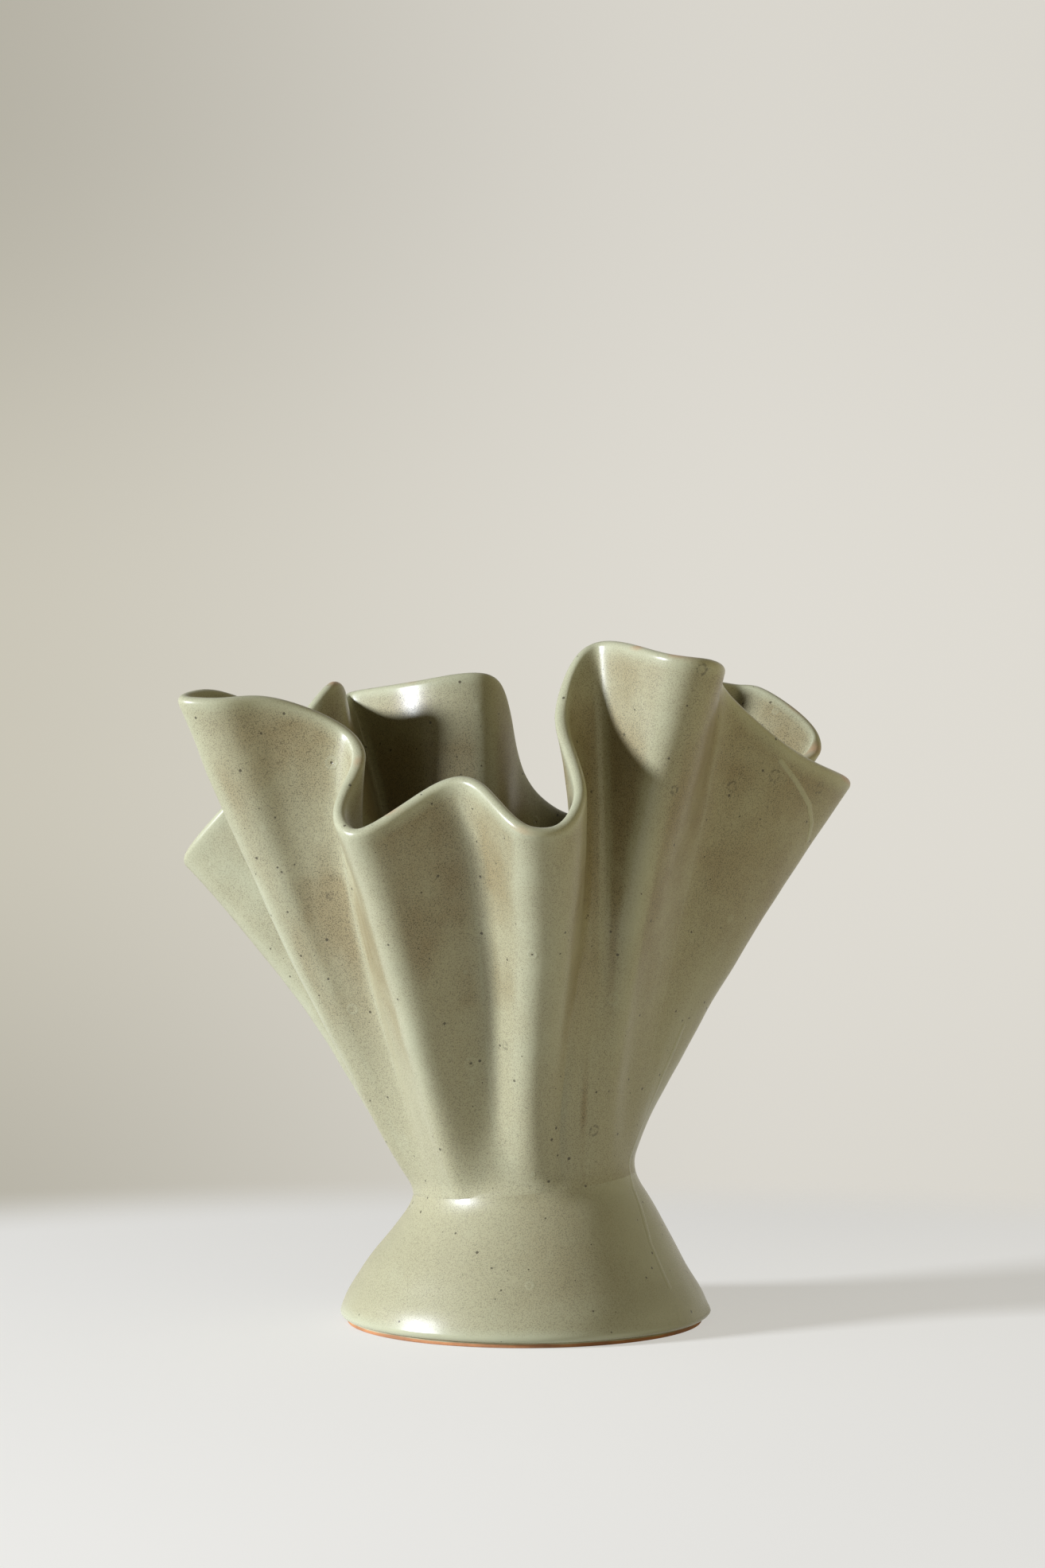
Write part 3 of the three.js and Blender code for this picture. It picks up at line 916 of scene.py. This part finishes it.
def glaze_material(name, settings):
    """Satin glaze, pale where thick, brown where thin and as painted shade; specks, pinholes, bare
    edges.
    """
    looks, tints = GLAZE_LOOKS[name], settings.glaze
    material, n, shader = plain_material(name)
    pooling = group_outputs(n, "Glaze pooling and shade", looks)
    speckle = group_outputs(n, "Iron speckle", looks)
    pinholes = group_outputs(n, "Pinholes", looks)
    marks = group_outputs(n, "Glaze marks", looks)
    # Brown is partly thin glaze and partly painted shade.
    base = n.mix(pooling["Brown"], colour(tints.sage), colour(tints.brown))
    pale = n.larger(pooling["Pale"], n.times(marks["Run"], RUN_PALE))
    base = n.mix(pale, base, colour(tints.pale))
    sandy = n.plus(n.spread(pale, 0.0, 1.0, *SANDY), n.times(pooling["Brown"], SANDY_BROWN))
    base = n.mix(n.times(speckle["Sand"], sandy), base, colour(tints.speck))
    base = n.mix(n.times(pooling["Bare"], CLAY_SHOWN), base, colour(tints.clay))
    base = n.mix(n.times(pinholes["Ring"], PALE_RING_SHOWN), base, colour(tints.pale))
    dots = n.larger(speckle["Mask"], n.times(pinholes["Pit"], PIT_SHOWN))
    dots = n.larger(dots, n.times(marks["Ring"], BUBBLE_SHOWN))
    n.set(shader.inputs["Base Color"], n.mix(dots, base, colour(tints.speck)))
    shader.inputs["Specular IOR Level"].default_value = 0.38
    rough = n.spread(pale, 0.0, 1.0, *GLAZE_ROUGH)
    n.set(shader.inputs["Roughness"], n.plus(rough, n.times(speckle["Sand"], SAND_ROUGH)))
    peel = n.noise(n.here(), scale=420.0, detail=2.0)
    height = n.plus(n.times(peel, PEEL_HEIGHT), pinholes["Height"])
    height = n.minus(height, n.times(speckle["Mask"], SPECK_DEPTH))
    height = n.plus(height, n.times(pooling["Runs"], STREAK_HEIGHT))
    height = n.plus(height, n.times(marks["Run"], RUN_HEIGHT))
    n.bump(shader, height, strength=0.5, distance=0.0004)
    return material


# The part of the noise that shows as clouds in the clay, how rough they make it, and its sand.
CLAY_CLOUDS, CLAY_ROUGH, CLAY_SAND = (0.35, 0.65), (0.3, 0.7, 0.72, 0.9), 0.3
# The glaze ends at these heights on the ring, unevenly by this much.
GLAZE_END, GLAZE_END_WAVES = (1.2 * MM, 1.6 * MM), 1.2 * MM


def clay_material(settings):
    """Bare fired clay: warm, grainy and matt."""
    tints = settings.glaze
    material, n, shader = plain_material("bare_clay")
    speckle = group_outputs(n, "Iron speckle", dict(Specks=0.5, Grain=0.8))
    here = n.here()
    clouds = n.noise(here, scale=70.0, detail=4.0)
    dark = colour(tints.clay, share=0.62)
    base = n.mix(n.spread(clouds, *CLAY_CLOUDS), dark, colour(tints.clay))
    base = n.mix(n.times(speckle["Sand"], CLAY_SAND), base, dark)
    base = n.mix(speckle["Mask"], base, colour(tints.speck))
    height = n.add("ShaderNodeSeparateXYZ", {"Vector": here}).outputs["Z"]
    uneven = n.times(n.minus(clouds, 0.5), GLAZE_END_WAVES)
    glazed = n.spread(n.plus(height, uneven), *GLAZE_END)
    n.set(shader.inputs["Base Color"], n.mix(glazed, base, colour(tints.sage)))
    n.set(shader.inputs["Roughness"], n.spread(clouds, *CLAY_ROUGH))
    grit = n.noise(here, scale=900.0, detail=4.0)
    n.bump(shader, grit, strength=0.6, distance=0.0003)
    return material


# Directions are parts of a unit vector. The backdrop is brightest in a band at this height,
# darkens over the band's edge as painted shade, more on the left, and turns from its left to its
# right colour over a width.
BAND_HEIGHT, BAND_EDGE = 0.01, (0.02, 0.16)
LEFT_TO_RIGHT = (-0.20, 0.08)
# The fill light comes from this side, and is dim below and full above these shares of it.
FILL_SIDE, FILL_EDGE = (0.85, -0.22, -0.8), (-0.2, 0.9)


def shown_rays(n):
    """1 for rays that show the backdrop itself: straight to the eye, mirrored or through glass."""
    path = n.add("ShaderNodeLightPath").outputs
    shown = n.larger(path["Is Camera Ray"], path["Is Glossy Ray"])
    return n.larger(shown, path["Is Transmission Ray"])


def make_world(stage):
    """A pale background, and a fill light for the vase that comes mostly from the right."""
    world = bpy.data.worlds.new("studio")
    world.use_nodes = True
    world.node_tree.nodes.clear()
    n = Nodes(world.node_tree)
    direction = n.add("ShaderNodeTexCoord").outputs["Generated"]
    parts = n.add("ShaderNodeSeparateXYZ", {"Vector": direction}).outputs
    # Painted shade: the backdrop darkens away from its bright band, more on the left than the
    # right.
    edge = n.spread(n.math("ABSOLUTE", n.minus(parts["Z"], BAND_HEIGHT)), *BAND_EDGE)
    left = n.mix(edge, colour(stage.left), colour(stage.left, share=0.76))
    right = n.mix(edge, colour(stage.right), colour(stage.right, share=0.95))
    backdrop = n.mix(n.spread(parts["X"], *LEFT_TO_RIGHT), left, right)
    side = n.vector("DOT_PRODUCT", direction, FILL_SIDE)
    soft = n.mix(n.spread(side, *FILL_EDGE), colour(stage.dim), colour(stage.fill))
    seen = n.add("ShaderNodeBackground", {"Color": backdrop}).outputs[0]
    fill = n.add("ShaderNodeBackground", {"Color": soft}).outputs[0]
    both = n.add("ShaderNodeMixShader", {0: shown_rays(n), 1: fill, 2: seen})
    n.add("ShaderNodeOutputWorld", {"Surface": both.outputs[0]})
    bpy.context.scene.world = world


# The floor's glow is stronger towards this side, as painted light, between these distances and by
# these strengths. It fades into the background between two distances from a point in front of the
# vase.
LIGHT_SIDE, LIGHT_SPREAD = (0.8, -0.6, 0), (-0.15, 0.20, 0.99, 1.10)
FADE_FROM, FADE_EDGE = (0, -0.15, 0), (0.46, 0.63)


def make_floor_sheet(stage):
    """A pale round floor that fades into the background."""
    mesh = bpy.data.meshes.new("pale_floor")
    shape = bmesh.new()
    bmesh.ops.create_circle(shape, cap_ends=True, radius=1.5, segments=96)
    shape.to_mesh(mesh)
    shape.free()
    floor = add_object("pale_floor", mesh)
    floor.location.z = -0.1 * MM
    material, n, shader = plain_material("pale_floor")
    here = n.here()
    clouds = n.noise(here, scale=6.0, detail=2.0)
    base = n.mix(clouds, colour(stage.floor, share=0.97), colour(stage.floor))
    n.set(shader.inputs["Base Color"], base)
    shader.inputs["Roughness"].default_value = 0.75
    shader.inputs["Specular IOR Level"].default_value = 0.0
    # Painted light: the floor's glow grows towards the right front.
    light = n.spread(n.vector("DOT_PRODUCT", here, LIGHT_SIDE), *LIGHT_SPREAD)
    glow = n.add("ShaderNodeEmission", {"Color": colour(stage.floor), "Strength": light}).outputs[0]
    seen = n.times(shown_rays(n), stage.shadow)
    paper = n.add("ShaderNodeMixShader", {0: seen, 1: shader.outputs[0], 2: glow}).outputs[0]
    clear = n.add("ShaderNodeBsdfTransparent").outputs[0]
    away = n.spread(n.vector("DISTANCE", here, FADE_FROM), *FADE_EDGE)
    fade = n.add("ShaderNodeMixShader", {0: away, 1: paper, 2: clear}).outputs[0]
    out = next(node for node in n.tree.nodes if node.type == "OUTPUT_MATERIAL")
    n.set(out.inputs["Surface"], fade)
    mesh.materials.append(material)


# The point that the lamp shines at, the way to it from there, and how far off it is.
KEY_AIM, KEY_SIDE, KEY_DISTANCE = (0, 0, 0.15), (-0.90, -0.345, 0.267), 2.4


def make_lamp(stage):
    """A soft lamp to the left, a little in front of the vase."""
    lamp = bpy.data.lights.new("key", "AREA")
    lamp.shape = "DISK"
    lamp.size = stage.key_size
    lamp.energy = stage.key_power
    lamp.color = (0.86, 0.905, 1.0)
    key = add_object("key", lamp)
    towards = Vector(KEY_SIDE).normalized()
    key.location = Vector(KEY_AIM) + towards * KEY_DISTANCE
    key.rotation_euler = towards.to_track_quat("Z", "Y").to_euler()


def make_camera(stage):
    """A long lens at the height of the rim, looking along +Y."""
    camera = bpy.data.cameras.new("camera")
    camera.lens = stage.lens
    camera.sensor_width = 36
    eye = add_object("camera", camera)
    eye.location = (-0.85 * MM, -1.470, 0.2334)
    eye.rotation_euler = (math.radians(89.2), 0, 0)
    bpy.context.scene.camera = eye


class VASE_OT_wall(bpy.types.Operator):
    """Make the ruffled wall of the bowl"""

    bl_idname = "vase.wall"
    bl_label = "Ruffled wall"

    def execute(self, context):
        make_wall(context.scene.vase)
        return {"FINISHED"}


class VASE_OT_foot(bpy.types.Operator):
    """Make the hollow pedestal foot"""

    bl_idname = "vase.foot"
    bl_label = "Pedestal foot"

    def execute(self, context):
        make_foot(context.scene.vase)
        return {"FINISHED"}


class VASE_OT_floor(bpy.types.Operator):
    """Make the floor of the bowl and the coil in its corner"""

    bl_idname = "vase.floor"
    bl_label = "Bowl floor and coil"

    def execute(self, context):
        make_floor(context.scene.vase)
        return {"FINISHED"}


class VASE_OT_ring(bpy.types.Operator):
    """Make the bare clay ring under the foot"""

    bl_idname = "vase.ring"
    bl_label = "Clay ring"

    def execute(self, context):
        make_ring(context.scene.vase)
        return {"FINISHED"}


class VASE_OT_stage(bpy.types.Operator):
    """Make the floor, the background, the lamp and the camera"""

    bl_idname = "vase.stage"
    bl_label = "Stage"

    def execute(self, context):
        stage = context.scene.vase.stage
        make_world(stage)
        make_floor_sheet(stage)
        make_lamp(stage)
        make_camera(stage)
        context.scene.view_settings.view_transform = "Standard"
        return {"FINISHED"}


OPERATORS = (VASE_OT_stage, VASE_OT_ring, VASE_OT_foot, VASE_OT_floor, VASE_OT_wall)


class VASE_PT_panel(bpy.types.Panel):
    """Lists the pieces of the vase and what can be changed on them"""

    bl_idname = "VASE_PT_panel"
    bl_label = "Ruffled vase"
    bl_space_type = "VIEW_3D"
    bl_region_type = "UI"
    bl_category = "Vase"

    def draw(self, context):
        settings = context.scene.vase
        for group in (settings.sizes, settings.glaze, settings.stage):
            box = self.layout.box()
            for key in group.__annotations__:
                box.prop(group, key)
        for operator in OPERATORS:
            self.layout.operator(operator.bl_idname)


CLASSES = (VaseSizes, VaseGlaze, VaseStage, VaseSettings, *OPERATORS, VASE_PT_panel)


def register():
    for item in CLASSES:
        bpy.utils.register_class(item)
    bpy.types.Scene.vase = PointerProperty(type=VaseSettings)


def unregister():
    del bpy.types.Scene.vase
    for item in reversed(CLASSES):
        bpy.utils.unregister_class(item)


def main():
    """Makes everything in order."""
    register()
    bpy.ops.vase.stage()
    bpy.ops.vase.ring()
    bpy.ops.vase.foot()
    bpy.ops.vase.floor()
    bpy.ops.vase.wall()


if __name__ == "__main__":
    main()
